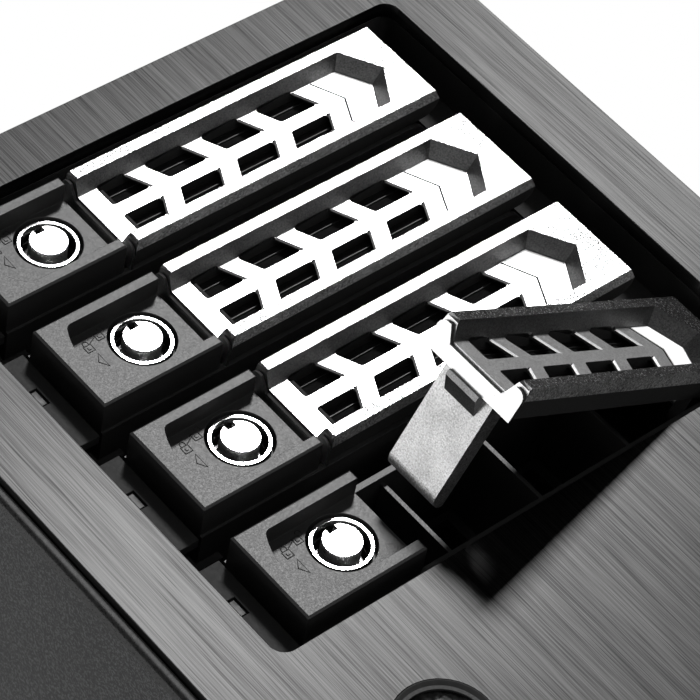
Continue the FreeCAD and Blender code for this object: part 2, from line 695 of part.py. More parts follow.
def lever():
    pocket = block(
        (RAIL_X0 + LEVER_SKIRT_T, LEVER_X1 - LEVER_SOLID_END), (CHANNEL_D + LEVER_FLOOR_T, LEVER_T),
        (SPINE_W / 2, GRILLE_FAR))
    pockets = [pocket, pocket.mirror(V(0, 0, 0), Z_AXIS)]
    casting = lever_blank().cut([lever_channel()] + pockets + grille_openings() + [pad_groove()])
    casting = casting.fuse([end_plate(), latch_arm()] + hinge_lugs())
    bore = rod_z(PIVOT_X, PIVOT_Y, (-LUG_OUT, LUG_OUT), PIN_R + RUN_GAP)
    return casting.cut(bore).removeSplitter()


def lever_pin():
    return rod_z(PIVOT_X, PIVOT_Y, (-FRAME_HALF, FRAME_HALF), PIN_R)


def tray_screws():
    """Pan-head screws through the back plate into the carrier's lugs."""
    screws = []
    for sx, sz in tray_screw_places():
        seat = FRAME_BACK - BACK_PLATE_T
        head = rod_y(sx, sz, (seat - TRAY_SCREW_HEAD_T, seat), TRAY_SCREW_HEAD_R)
        screws.append(head.fuse(rod_y(sx, sz, (seat, seat + TRAY_SCREW_L), TRAY_SCREW_R)))
    return screws


# Cage

def cage_side():
    """Right wall of the cage, with a runner under each tray, air windows and a front flange."""
    y = (CAGE_Y0, CAGE_Y1)
    wall = block((CAGE_INNER, CAGE_OUTER), y, (BAY_Z0, BAY_Z1))
    flange = block((CAGE_OUTER, CAGE_OUTER + CAGE_FLANGE_W), (CAGE_Y0, CAGE_Y0 + SHEET_T), (BAY_Z0, BAY_Z1))
    runners = []
    windows = []
    for mid in TRAY_MIDS:
        top = mid + CARRIER_Z0 - SLIDE_GAP
        runners.append(block(
            (CAGE_INNER - CAGE_TAB_W, CAGE_INNER), (CAGE_Y0 + SHEET_T, CARRIER_BACK), (top - SHEET_T, top)))
        windows.append(rounded_block(
            (CAGE_INNER, CAGE_OUTER), about((y[0] + y[1]) / 2, CAGE_WINDOW_L), about(mid, CAGE_WINDOW_H),
            CAGE_WINDOW_H / 2 - RUN_GAP, X_AXIS))
    return wall.fuse([flange] + runners).cut(windows).removeSplitter()


def cage_top():
    return block((-CAGE_OUTER, CAGE_OUTER), (CAGE_Y0, CAGE_Y1), (BAY_Z1, BAY_Z1 + SHEET_T))


def cage_screw_places():
    x = CAGE_OUTER + CAGE_FOOT_W / 2
    ys = (STAND_LEG_Y + CAGE_SCREW_INSET, CAGE_Y1 - CAGE_SCREW_INSET)
    return [(sx, sy) for sx in (-x, x) for sy in ys]


def cage_stand():
    """Folded stand: a shelf under the cage, two legs clear of the button, and two feet on the base."""
    shelf = block((-CAGE_OUTER, CAGE_OUTER), (CAGE_Y0, CAGE_Y1), (BAY_Z0 - SHEET_T, BAY_Z0))
    y = (STAND_LEG_Y, CAGE_Y1)
    leg = block((CAGE_INNER, CAGE_OUTER), y, (BASE_TOP, BAY_Z0 - SHEET_T))
    foot = block((CAGE_OUTER, CAGE_OUTER + CAGE_FOOT_W), y, (BASE_TOP, BASE_TOP + SHEET_T))
    holes = [
        rod_z(sx, sy, (BASE_TOP, BASE_TOP + SHEET_T), CAGE_SCREW_R + RUN_GAP)
        for sx, sy in cage_screw_places()]
    return shelf.fuse([leg, foot, mirrored(leg), mirrored(foot)]).cut(holes).removeSplitter()


def cage_screws():
    seat = BASE_TOP + SHEET_T
    return [
        rod_z(sx, sy, (seat, seat + CAGE_SCREW_HEAD_T), CAGE_SCREW_HEAD_R).fuse(
            rod_z(sx, sy, (BODY_Z0, seat), CAGE_SCREW_R))
        for sx, sy in cage_screw_places()]


# Body shell

def outer_cover():
    """Folded top and sides, open below, in front and behind."""
    y = (BEZEL_BACK, BODY_D)
    shell = block((-COVER_HALF, COVER_HALF), y, (BODY_Z0, COVER_Z1))
    top_edges = [e for e in edges_along(shell, Y_AXIS) if abs(e.Vertexes[0].Point.z - COVER_Z1) < 1e-6]
    shell = shell.makeFillet(COVER_EDGE_R, top_edges)
    inner_half = COVER_HALF - COVER_T
    inner = block((-inner_half, inner_half), y, (BODY_Z0, COVER_Z1 - COVER_T))
    inner_edges = [
        e for e in edges_along(inner, Y_AXIS) if abs(e.Vertexes[0].Point.z - COVER_Z1 + COVER_T) < 1e-6]
    inner = inner.makeFillet(COVER_EDGE_R - COVER_T, inner_edges)
    holes = [
        rod_x(sy, sz, (-COVER_HALF, COVER_HALF), COVER_SCREW_R + RUN_GAP) for sy, sz in cover_screw_places()]
    return shell.cut([inner] + holes)


def cover_screw_places():
    z = BODY_Z0 + COVER_SCREW_UP
    return [(COVER_SCREW_FRONT_Y, z), (BODY_D - COVER_SCREW_REAR_INSET, z)]


def cover_screws():
    screws = []
    for sy, sz in cover_screw_places():
        head = rod_x(sy, sz, (COVER_HALF, COVER_HALF + COVER_SCREW_HEAD_T), COVER_SCREW_HEAD_R)
        screw = head.fuse(rod_x(sy, sz, (INNER_HALF - SHEET_T, COVER_HALF), COVER_SCREW_R))
        screws += [screw, mirrored(screw)]
    return screws


def standoff_places():
    x = CONTROL_BOARD_W / 2 - STANDOFF_INSET
    ys = (CONTROL_BOARD_Y[0] + STANDOFF_INSET, CONTROL_BOARD_Y[1] - STANDOFF_INSET)
    return [(sx, sy) for sx in (-x, x) for sy in ys]


def base_plate():
    y = (BEZEL_BACK, REAR_Y)
    floor = block((-INNER_HALF, INNER_HALF), y, (BODY_Z0, BASE_TOP))
    flange_z = (BODY_Z0, BODY_Z0 + BASE_FLANGE_H)
    side = block((INNER_HALF - SHEET_T, INNER_HALF), y, flange_z)
    front = block((-INNER_HALF, INNER_HALF), (BEZEL_BACK, BEZEL_BACK + SHEET_T), flange_z)
    posts = [rod_z(sx, sy, (BASE_TOP, CONTROL_BOARD_Z), STANDOFF_R) for sx, sy in standoff_places()]
    holes = [
        rod_x(sy, sz, (-INNER_HALF, INNER_HALF), COVER_SCREW_R + RUN_GAP) for sy, sz in cover_screw_places()]
    holes += [rod_z(sx, sy, (BODY_Z0, BASE_TOP), CAGE_SCREW_R + RUN_GAP) for sx, sy in cage_screw_places()]
    return floor.fuse([side, mirrored(side), front] + posts).cut(holes).removeSplitter()


def fan_screw_places():
    half = FAN_W / 2 - FAN_HOLE_INSET
    return [(sx, FAN_Z + sz) for sx in (-half, half) for sz in (-half, half)]


def fan_grille():
    """Ring-shaped slots with spokes between them, cut through the rear panel in front of the fan."""
    slots = []
    y = (REAR_Y, BODY_D)
    for i in range(FAN_GRILLE_RINGS):
        inner = FAN_GRILLE_HUB_R + i * FAN_GRILLE_PITCH
        outer = inner + FAN_GRILLE_PITCH - FAN_GRILLE_WIRE
        slots.append(rod_y(0, FAN_Z, y, outer).cut(rod_y(0, FAN_Z, y, inner)))
    reach = 2 * (FAN_BORE_R + FAN_GRILLE_WIRE)
    spokes = []
    for i in range(FAN_GRILLE_SPOKES // 2):
        spoke = block(about(0, FAN_GRILLE_SPOKE_W), y, about(FAN_Z, reach))
        spoke.rotate(V(0, 0, FAN_Z), Y_AXIS, 180.0 * (2 * i + 1) / FAN_GRILLE_SPOKES)
        spokes.append(spoke)
    return [slot.cut(spokes) for slot in slots]


def port_hole(x, width, height):
    z = CONTROL_BOARD_Z + BOARD_T
    return block(
        about(x, width + 2 * PORT_GAP), (REAR_Y, BODY_D), (z - PORT_GAP, z + height + PORT_GAP))


def rear_panel():
    plate = block((-INNER_HALF, INNER_HALF), (REAR_Y, BODY_D), (BODY_Z0, INNER_Z1))
    corners = [(-INNER_HALF, INNER_Z1), (INNER_HALF, INNER_Z1)]
    plate = plate.makeFillet(COVER_EDGE_R, corner_edges(plate, Y_AXIS, corners))
    holes = [rod_y(sx, sz, (REAR_Y, BODY_D), FAN_SCREW_R + RUN_GAP) for sx, sz in fan_screw_places()]
    ports = [port_hole(USB_X, USB_W, USB_H), port_hole(INLET_X, INLET_W, INLET_H)]
    return plate.cut(holes + ports + fan_grille())


def rubber_foot(x, y):
    """Tapered moulded foot with a screw recess from below."""
    foot = Part.makeCone(FOOT_R, FOOT_TOP_R, FOOT_H, V(x, y, 0), Z_AXIS)
    sole = [e for e in foot.Edges if all(abs(v.Point.z) < 1e-6 for v in e.Vertexes)]
    foot = foot.makeFillet(FOOT_EDGE_R, sole)
    return foot.cut(rod_z(x, y, (0, FOOT_RECESS_D), FOOT_RECESS_R))


def rubber_feet():
    x = BODY_HALF - FOOT_INSET_X
    return [rubber_foot(fx, fy) for fx in (-x, x) for fy in (FOOT_INSET_Y, BODY_D - FOOT_INSET_Y)]


# Fan

def fan_y():
    return (REAR_Y - FAN_D, REAR_Y)


def fan_frame():
    y = fan_y()
    half = FAN_W / 2
    body = rounded_block((-half, half), y, (FAN_Z - half, FAN_Z + half), FAN_CORNER_R)
    body = body.cut([rod_y(0, FAN_Z, y, FAN_BORE_R)])
    back = (y[1] - FAN_BASE_T, y[1])
    base = rod_y(0, FAN_Z, back, FAN_HUB_R)
    struts = []
    for i in range(2):
        strut = block(about(0, FAN_STRUT_W), back, about(FAN_Z, 2 * FAN_BORE_R + FAN_STRUT_W))
        strut.rotate(V(0, 0, FAN_Z), Y_AXIS, 90.0 * i + 45.0)
        struts.append(strut)
    axle = rod_y(0, FAN_Z, (back[0] - FAN_HUB_D / 2, back[0]), FAN_AXLE_R)
    body = body.fuse([base, axle] + struts)
    return body.cut([rod_y(sx, sz, y, FAN_SCREW_R) for sx, sz in fan_screw_places()]).removeSplitter()


def fan_blade():
    """One blade, pitched steeper at the hub than at the tip."""
    y_mid = fan_y()[1] - FAN_BASE_T - END_GAP - FAN_HUB_D / 2

    def section(radius, pitch):
        cos, sin = math.cos(math.radians(pitch)), math.sin(math.radians(pitch))
        corners = []
        for a, b in ((-1, -1), (1, -1), (1, 1), (-1, 1)):
            along, across = a * FAN_BLADE_CHORD / 2, b * FAN_BLADE_T / 2
            corners.append(V(along * cos - across * sin, y_mid + along * sin + across * cos, FAN_Z + radius))
        return Part.makePolygon(corners + corners[:1])
    root = section(FAN_HUB_R - FAN_BLADE_T, FAN_BLADE_ROOT_DEG)
    tip = section(FAN_BORE_R - FAN_TIP_GAP, FAN_BLADE_TIP_DEG)
    blade = Part.makeLoft([root, tip], True, True)
    sweep = rod_y(0, FAN_Z, fan_y(), FAN_BORE_R - FAN_TIP_GAP)
    return blade.common(sweep)


def fan_rotor():
    back = fan_y()[1] - FAN_BASE_T - END_GAP
    hub = rod_y(0, FAN_Z, (back - FAN_HUB_D, back), FAN_HUB_R)
    blades = []
    for i in range(FAN_BLADES):
        blade = fan_blade()
        blade.rotate(V(0, 0, FAN_Z), Y_AXIS, 360.0 * i / FAN_BLADES)
        blades.append(blade)
    axle_hole = rod_y(0, FAN_Z, (back - FAN_HUB_D / 2 - END_GAP, back), FAN_AXLE_R + RUN_GAP)
    return hub.fuse(blades).cut(axle_hole).removeSplitter()


def fan_screws():
    return [
        rod_y(sx, sz, (BODY_D, BODY_D + FAN_SCREW_HEAD_T), FAN_SCREW_HEAD_R).fuse(
            rod_y(sx, sz, (REAR_Y - FAN_D / 2, BODY_D), FAN_SCREW_R - PRESS_GAP))
        for sx, sz in fan_screw_places()]


# Boards, sockets and ports

def backplane_board():
    half = CAGE_OUTER - BOARD_MARGIN
    return block((-half, half), (CAGE_Y1, CAGE_Y1 + BOARD_T), (BAY_Z0 + BOARD_MARGIN, BAY_Z1 - BOARD_MARGIN))


def drive_sockets():
    sockets = []
    for mid in TRAY_MIDS:
        z0 = mid + CARRIER_FLOOR
        body = block(about(0, SOCKET_W), (CAGE_Y1 - SOCKET_D, CAGE_Y1), (z0, z0 + SOCKET_H))
        slot = block(
            about(0, SOCKET_W - 2 * SOCKET_WALL), (CAGE_Y1 - SOCKET_D, CAGE_Y1 - SOCKET_D + SOCKET_SLOT_D),
            about(z0 + SOCKET_H / 2, SOCKET_SLOT_H))
        sockets.append(body.cut(slot))
    return sockets


def controller_board():
    return block(
        about(0, CONTROL_BOARD_W), CONTROL_BOARD_Y, (CONTROL_BOARD_Z, CONTROL_BOARD_Z + BOARD_T))


def usb_port():
    z0 = CONTROL_BOARD_Z + BOARD_T
    y1 = BODY_D + PORT_PROUD
    mid = z0 + USB_H / 2
    shell = block(about(USB_X, USB_W), (y1 - USB_L, y1), (z0, z0 + USB_H))
    socket = block(about(USB_X, USB_SOCKET_W), (y1 - USB_SOCKET_D, y1), about(mid, USB_SOCKET_H))
    tongue = block(
        about(USB_X, USB_TONGUE_W), (y1 - USB_SOCKET_D, y1 - PORT_PROUD), about(mid, USB_TONGUE_H))
    return shell.cut(socket).fuse(tongue).removeSplitter()


def power_inlet():
    z0 = CONTROL_BOARD_Z + BOARD_T
    y1 = BODY_D + PORT_PROUD
    mid = z0 + INLET_H / 2
    body = block(about(INLET_X, INLET_W), (y1 - INLET_L, y1), (z0, z0 + INLET_H))
    bore = rod_y(INLET_X, mid, (y1 - INLET_D, y1), INLET_BORE_R)
    pin = rod_y(INLET_X, mid, (y1 - INLET_D, y1 - PORT_PROUD), INLET_PIN_R)
    return body.cut(bore).fuse(pin).removeSplitter()


# Power button

def button_ring():
    """Flanged bush pressed through the panel from behind, bevelled inwards at its front."""
    tube = rod_y(BUTTON_X, BUTTON_Z, (0, BUTTON_BODY_BACK), BUTTON_RING_R)
    flange = rod_y(BUTTON_X, BUTTON_Z, (BEZEL_BACK, BEZEL_BACK + BUTTON_FLANGE_T), BUTTON_FLANGE_R)
    bore = rod_y(BUTTON_X, BUTTON_Z, (0, BUTTON_BODY_BACK), BUTTON_R + RUN_GAP)
    bevel = Part.makeCone(
        BUTTON_BEVEL_R, BUTTON_BEVEL_R - BUTTON_CHAMFER, BUTTON_CHAMFER, V(BUTTON_X, 0, BUTTON_Z), Y_AXIS)
    return tube.fuse(flange).cut([bore, bevel]).removeSplitter()


def button_cap():
    """Slightly domed cap with a short stem behind it."""
    y0 = BUTTON_SUNK
    rise = BUTTON_DOME
    crown = (BUTTON_R ** 2 + rise ** 2) / (2 * rise)
    dome = Part.makeSphere(crown, V(BUTTON_X, y0 + crown, BUTTON_Z))
    cap = rod_y(BUTTON_X, BUTTON_Z, (y0, y0 + BUTTON_L), BUTTON_R).common(dome)
    stem_end = BUTTON_BODY_BACK - SWITCH_T - BUTTON_TRAVEL - END_GAP
    return cap.fuse(rod_y(BUTTON_X, BUTTON_Z, (y0 + BUTTON_L, stem_end), BUTTON_STEM_R)).removeSplitter()


def button_board():
    """Small board closing the bush, with the switch under the stem."""
    board = block(
        about(BUTTON_X, BUTTON_BOARD_W), (BUTTON_BODY_BACK, BUTTON_BODY_BACK + BOARD_T),
        about(BUTTON_Z, BUTTON_BOARD_W))
    switch = block(
        about(BUTTON_X, SWITCH_W), (BUTTON_BODY_BACK - SWITCH_T, BUTTON_BODY_BACK),
        about(BUTTON_Z, SWITCH_W))
    return board.fuse(switch).removeSplitter()


# Assembly

def raised(shape, z):
    """A copy of a shape, or of a group of shapes, at a height."""
    group = shape if isinstance(shape, list) else [shape]
    copies = []
    for solid in group:
        copy = solid.copy()
        copy.translate(V(0, 0, z))
        copies.append(copy)
    return copies


def assembly():
    right_side = cage_side()
    nodes = {
        "front_panel": front_panel(),
        "front_bezel": front_bezel(),
        "status_light_pipes": status_light_pipes(),
        "outer_cover": outer_cover(),
        "cover_screws": cover_screws(),
        "base_plate": base_plate(),
        "rear_panel": rear_panel(),
        "rubber_feet": rubber_feet(),
        "cage_right_side": right_side,
        "cage_left_side": mirrored(right_side),
        "cage_top": cage_top(),
        "cage_stand": cage_stand(),
        "cage_screws": cage_screws(),
        "backplane_board": backplane_board(),
        "drive_sockets": drive_sockets(),
        "controller_board": controller_board(),
        "usb_port": usb_port(),
        "power_inlet": power_inlet(),
        "fan_frame": fan_frame(),
        "fan_rotor": fan_rotor(),
        "fan_screws": fan_screws(),
        "button_ring": button_ring(),
        "button_cap": button_cap(),
        "button_board": button_board(),
    }
    tray_pieces = {
        "tray_front": tray_front(),
        "tray_carrier": tray_carrier(),
        "tray_screws": tray_screws(),
        "lock_barrel": lock_barrel(),
        "lock_plug": lock_plug(),
        "lock_cam": lock_cam(),
        "lever": lever(),
        "lever_pin": lever_pin(),
    }
    for i, mid in enumerate(TRAY_MIDS):
        for name, shape in tray_pieces.items():
            group = raised(shape, mid)
            if name == "lever" and i == OPEN_TRAY:
                for solid in group:
                    solid.rotate(V(PIVOT_X, PIVOT_Y, mid), Z_AXIS, LEVER_OPEN_DEG)
            nodes[f"{name}_{i + 1}"] = group
    return {name: shape if isinstance(shape, list) else [shape] for name, shape in nodes.items()}


def main():
    os.makedirs("parts", exist_ok=True)
    nodes = assembly()
    box = FreeCAD.BoundBox()
    for group in nodes.values():
        for solid in group:
            box.add(solid.optimalBoundingBox(False))
    shift = V(0, -(box.YMin + box.YMax) / 2, 0)
    print(f"front panel face at Y = {shift.y:.3f}")
    print(f"whole box {box.XLength:.2f} x {box.YLength:.2f} x {box.ZLength:.2f}")
    print("tray middle heights", [round(mid, 3) for mid in TRAY_MIDS])
    print(f"button at X {BUTTON_X}, Z {BUTTON_Z:.3f}; fan at Z {FAN_Z:.3f}")
    for name, group in nodes.items():
        solids = []
        for solid in group:
            solid.translate(shift)
            solids += solid.Solids
        if any(not solid.isValid() for solid in solids):
            print("invalid solid in", name)
        if len(solids) != len(group):
            print(name, "has", len(solids), "solids where", len(group), "were meant")
        shape = solids[0] if len(solids) == 1 else Part.makeCompound(solids)
        shape.exportStep(f"parts/{name}.step")


main()
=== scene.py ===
"""Looks of a four-bay drive enclosure: finishes, screw recesses, plates, marks and the studio."""
import json
import math

import bmesh
import bpy
from mathutils import Matrix, Vector

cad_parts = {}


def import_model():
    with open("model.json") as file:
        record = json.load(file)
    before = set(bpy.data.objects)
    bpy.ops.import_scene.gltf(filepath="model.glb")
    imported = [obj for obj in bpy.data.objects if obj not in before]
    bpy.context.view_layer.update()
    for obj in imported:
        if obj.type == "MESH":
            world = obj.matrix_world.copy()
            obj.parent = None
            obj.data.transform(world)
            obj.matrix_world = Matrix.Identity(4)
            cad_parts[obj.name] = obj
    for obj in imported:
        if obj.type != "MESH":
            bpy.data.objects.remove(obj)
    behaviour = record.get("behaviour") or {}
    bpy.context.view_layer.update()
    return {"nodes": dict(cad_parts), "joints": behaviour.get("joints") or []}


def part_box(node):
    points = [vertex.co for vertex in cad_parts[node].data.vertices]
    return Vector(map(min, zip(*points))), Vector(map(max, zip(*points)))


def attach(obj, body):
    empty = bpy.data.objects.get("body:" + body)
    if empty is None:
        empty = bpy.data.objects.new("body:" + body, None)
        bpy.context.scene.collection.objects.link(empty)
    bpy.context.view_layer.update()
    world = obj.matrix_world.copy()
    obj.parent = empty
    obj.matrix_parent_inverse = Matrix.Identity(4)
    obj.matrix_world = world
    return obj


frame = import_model()
NODES = frame["nodes"]

MM = 0.001
TRAYS = (1, 2, 3, 4)
LEFT = Vector((-1, 0, 0))
RIGHT = Vector((1, 0, 0))
FRONT = Vector((0, -1, 0))
BACK = Vector((0, 1, 0))

# Photograph's camera: lens for a square frame, and the view's axes as seen from the standing object
LENS_MM = 177.54
SENSOR_MM = 36.0
CAMERA_NEAR = 10.0 * MM
CAMERA_RIGHT = Vector((0.7518, -0.1466, -0.6429))
CAMERA_UP = Vector((0.4113, -0.6579, 0.6309))
CAMERA_BACK = Vector((-0.5155, -0.7387, -0.4343))
CAMERA_DISTANCE = 488.3 * MM
AIM_X = -4.98 * MM
AIM_BELOW_PANEL_TOP = 60.94 * MM

# Studio, in metres and watts: floor, even fill, and lights that face the middle of the front
FLOOR_SIZE = 3.0
FLOOR_GREY = 0.82
FLOOR_ROUGH = 0.6
WORLD_FILL = 0.02
LIGHT_DISTANCE = 0.9
LIGHTS = {
    "key": {"source": Vector((0.426, -0.804, 0.418)), "size": 0.12, "power": 9.2},
    "side": {"source": Vector((-0.9, -0.1, 0.43)), "size": 0.4, "power": 1.6},
    "low_side": {"source": Vector((-0.914, -0.038, -0.396)), "size": 0.4, "power": 0.5},
    "card": {"source": Vector((0.9, 0.03, 0.434)), "size": 0.25, "power": 0.005},
    "under": {"source": Vector((0.3, -0.5, -0.81)), "size": 0.4, "power": 0.7},
    "front": {"source": Vector((-0.089, -0.949, -0.25)), "size": 0.2, "power": 0.5},
    "back": {"source": Vector((0.0, 0.9, 0.434)), "size": 0.8, "power": 2.4},
}

# Lever that is open at rest
OPEN_TRAY = 4
OPEN_ANGLE = math.radians(28.5)

# Where one finish of a closed lever meets the next, in millimetres: X from the part's origin, depth from
# the panel's face, height from the tray's middle
CHANNEL_DEPTH = 2.8
LEVER_SIDE = 8.0
LEVER_END_X = -17.4
ARM_DEPTH = 5.6
TAB_X = -17.05
LUG_X = 20.0
LUG_DEPTH = 3.3
BAND_DEPTH = 2.0
GROOVE_SHOWN = 0.2

# Parts of a face's normal that tell how the face is turned
FACING = 0.8
FLAT = 0.95
HALF_TURNED = 0.3

# Plates in the closed lever, measured in the same way. The pad's lean is a slope.
BACKING_X = (-13.2, 32.5)
BACKING_Z = (1.2, 5.3)
BACKING_DEPTH = 4.8
BACKING_THICK = 0.4
RIDGE_UP = 2.75
RIDGE_WIDE = 0.1
RIDGE_PROUD = 0.25
PAD_THICK = 0.06
PAD_HALF = 5.1
PAD_LEFT_TIP = 30.1
PAD_LEAN = 0.51
PAD_END = 32.0
PAD_RIGHT_TIP = 35.0

# Lock, in millimetres: depth behind the barrel's front past which its faces get darker chrome, painted shade
LOCK_PAINTED_SHADE_DEPTH = 0.4

# Marks beside each lock, in millimetres: depth from the panel's face, places from the lock's axis
POCKET_DEPTH = 3.4
STROKE = 0.09
STROKE_ROUNDING = 1
OPEN_PADLOCK = (-4.9, 3.7)
SLASH = (-6.3, 3.6)
CLOSED_PADLOCK = (-7.5, 2.6)
POINTER = (-7.0, -0.1)
PADLOCK_HALF = 0.62
PADLOCK_MARK = PADLOCK_HALF / 3
SHACKLE_R = 0.42
SHACKLE_RISE = 0.35
SHACKLE_SWING = 0.85
SLASH_REACH = (0.5, 0.25)
POINTER_HALF = 1.4
POINTER_REACH = 0.9
ARC_STEPS = 8

# Screw heads, in millimetres, and their cross recesses, as shares of a head's radius
COVER_HEAD_R = 3.0
FAN_HEAD_R = 3.4
TRAY_HEAD_R = 1.9
HEAD_TOUCH = 0.01
HEAD_REACH = 8.0
CROSS_ARMS = 4
CROSS_REACH = 0.58
CROSS_WIDE = 0.13
CROSS_OVER = 0.1
CROSS_DEEP = 0.4
CROSS_TAPER = 0.7

# Edge rounding shown on the CAD pieces: weld in millimetres, and angles that count as flat or sharp
WELD_REACH = 0.001
FLAT_ANGLE = math.radians(2.0)
EDGE_ANGLE = math.radians(28.0)
EDGE_SEGMENTS = 2

# Middle and reach of a noise's usual values, and the strength of grit in the cast finishes
NOISE_MIDDLE = 0.5
NOISE_REACH = 0.2
GRIT_STRENGTH = 0.6


def node_names(stem):
    """Names of the nodes of one kind, one for each tray."""
    return [f"{stem}_{n}" for n in TRAYS]


# Materials

class Shader:
    """A material with a Principled shader, and short calls for the texture nodes that feed it."""

    def __init__(self, name, **settings):
        self.material = bpy.data.materials.new(name)
        self.material.use_nodes = True
        self.tree = self.material.node_tree
        self.principled = self.tree.nodes["Principled BSDF"]
        self.output = self.tree.nodes["Material Output"]
        for socket, value in settings.items():
            self.principled.inputs[socket.replace("_", " ").title()].default_value = value

    def add(self, kind, **settings):
        node = self.tree.nodes.new(kind)
        for key, value in settings.items():
            setattr(node, key, value)
        return node

    def link(self, source, target):
        self.tree.links.new(source, target)

    def place(self, scale):
        """Object coordinates in millimetres, stretched by a scale for each axis."""
        coordinates = self.add("ShaderNodeTexCoord")
        mapping = self.add("ShaderNodeMapping")
        mapping.inputs["Scale"].default_value = [s / MM for s in scale]
        self.link(coordinates.outputs["Object"], mapping.inputs["Vector"])
        return mapping.outputs["Vector"]

    def noise(self, scale, detail=2.0, roughness=0.5, distortion=0.0):
        """Noise with so many features to the millimetre along each axis."""
        node = self.add("ShaderNodeTexNoise")
        node.inputs["Scale"].default_value = 1.0
        node.inputs["Detail"].default_value = detail
        node.inputs["Roughness"].default_value = roughness
        node.inputs["Distortion"].default_value = distortion
        self.link(self.place(scale), node.inputs["Vector"])
        return node.outputs["Fac"]

    def blend(self, first, second, share):
        """Two noises in one, with a share of the second."""
        node = self.add("ShaderNodeMix", data_type="FLOAT")
        node.inputs["Factor"].default_value = share
        self.link(first, node.inputs["A"])
        self.link(second, node.inputs["B"])
        return node.outputs["Result"]

    def tones(self, value, colours, reach=NOISE_REACH):
        """Colour that goes evenly through two or three colours, over a reach about a noise's middle."""
        node = self.add("ShaderNodeValToRGB")
        elements = node.color_ramp.elements
        for element, side, colour in zip(elements, (-1, 1), (colours[0], colours[-1])):
            element.position = NOISE_MIDDLE + side * reach
            element.color = (*colour, 1.0)
        for colour in colours[1:-1]:
            elements.new(NOISE_MIDDLE).color = (*colour, 1.0)
        self.link(value, node.inputs["Fac"])
        self.link(node.outputs["Color"], self.principled.inputs["Base Color"])

    def roughness(self, value, low, high):
        """Roughness that follows a noise from low to high."""
        node = self.add("ShaderNodeMapRange")
        node.inputs["From Min"].default_value = NOISE_MIDDLE - NOISE_REACH
        node.inputs["From Max"].default_value = NOISE_MIDDLE + NOISE_REACH
        node.inputs["To Min"].default_value = low
        node.inputs["To Max"].default_value = high
        self.link(value, node.inputs["Value"])
        self.link(node.outputs["Result"], self.principled.inputs["Roughness"])

    def bump(self, height, strength, distance_mm):
        node = self.add("ShaderNodeBump")
        node.inputs["Strength"].default_value = strength
        node.inputs["Distance"].default_value = distance_mm * MM
        self.link(height, node.inputs["Height"])
        self.link(node.outputs["Normal"], self.principled.inputs["Normal"])

    def tangent(self, axis):
        """Direction of stretched gloss, along rings about one of the object's axes."""
        node = self.add("ShaderNodeTangent", direction_type="RADIAL", axis=axis)
        self.link(node.outputs["Tangent"], self.principled.inputs["Tangent"])


def grey(value, tint=0.0):
    """A grey with a slight cool tint."""
    return (value * (1 - tint), value, value * (1 + tint))


def even(scale):
    """The same noise scale along all three axes."""
    return (scale, scale, scale)


def brushed_aluminium():
    """Anodised plate with long brush lines that run up the panel."""
    s = Shader("brushed_aluminium", metallic=1.0, roughness=0.42, anisotropic=0.59)
    fine = s.noise((8.0, 8.0, 0.07), detail=2.0, roughness=0.6)
    broad = s.noise((1.2, 1.2, 0.02), detail=3.0)
    lines = s.blend(fine, broad, share=0.2)
    s.tones(lines, [grey(0.013), grey(0.033), grey(0.05)], reach=0.16)
    s.roughness(fine, low=0.4, high=0.45)
    s.bump(fine, strength=0.12, distance_mm=0.02)
    s.tangent("Z")
    return s.material


def moulded_black(name, value, rough, grain_mm, strength):
    """Moulded plastic with a fine spark-eroded grain."""
    s = Shader(name, roughness=rough)
    grain = s.noise(even(1 / grain_mm), detail=3.0, roughness=0.6)
    cloud = s.noise(even(0.05), detail=2.0)
    s.tones(s.blend(grain, cloud, share=0.3), [grey(value * 0.75), grey(value * 1.3)])
    s.roughness(grain, low=rough - 0.06, high=rough + 0.08)
    s.bump(grain, strength, distance_mm=0.03)
    return s.material


def powder_coat():
    """Dark coat with a fine, even pebble."""
    s = Shader("powder_coat", roughness=0.48)
    pebble = s.noise(even(2.6), detail=2.0, roughness=0.55)
    fine = s.noise(even(6.0), detail=1.0)
    mixed = s.blend(pebble, fine, share=0.35)
    s.tones(mixed, [grey(value, tint=0.02) for value in (0.003, 0.026, 0.11)], reach=0.1)
    s.roughness(mixed, low=0.4, high=0.58)
    s.bump(mixed, strength=0.55, distance_mm=0.06)
    return s.material


def cast_silver(name, dark, light, rough, grit_mm, relief_mm):
    """Plated casting, with the grit that its mould left on a face."""
    s = Shader(name, metallic=1.0, roughness=rough)
    grit = s.noise(even(1 / grit_mm), detail=3.0, roughness=0.65)
    cloud = s.noise(even(0.25), detail=2.0)
    s.tones(s.blend(grit, cloud, share=0.2), [grey(dark), grey(light)], reach=0.14)
    s.roughness(grit, low=rough - 0.05, high=rough + 0.08)
    s.bump(grit, GRIT_STRENGTH, relief_mm)
    return s.material


def white_inlay():
    """Satin white plate that a finger meets."""
    s = Shader("white_inlay", roughness=0.5)
    grain = s.noise(even(2.0), detail=3.0)
    s.tones(grain, [grey(0.86), grey(0.94)])
    s.roughness(grain, low=0.44, high=0.56)
    return s.material


def polished(name, value, rough):
    """Turned and polished metal with faint fine scratches."""
    s = Shader(name, metallic=1.0, roughness=rough)
    scratches = s.noise((6.0, 6.0, 0.6), detail=2.0)
    s.tones(scratches, [grey(value * 0.92), grey(min(value * 1.05, 0.95))])
    s.roughness(scratches, low=rough * 0.8, high=rough * 1.3)
    return s.material


def plated_steel(name, value, rough):
    """Sheet or screw steel with a cloudy plated finish."""
    s = Shader(name, metallic=1.0, roughness=rough)
    cloud = s.noise(even(0.4), detail=4.0, roughness=0.6)
    s.tones(cloud, [grey(value * 0.8), grey(value * 1.15)])
    s.roughness(cloud, low=rough - 0.06, high=rough + 0.1)
    return s.material


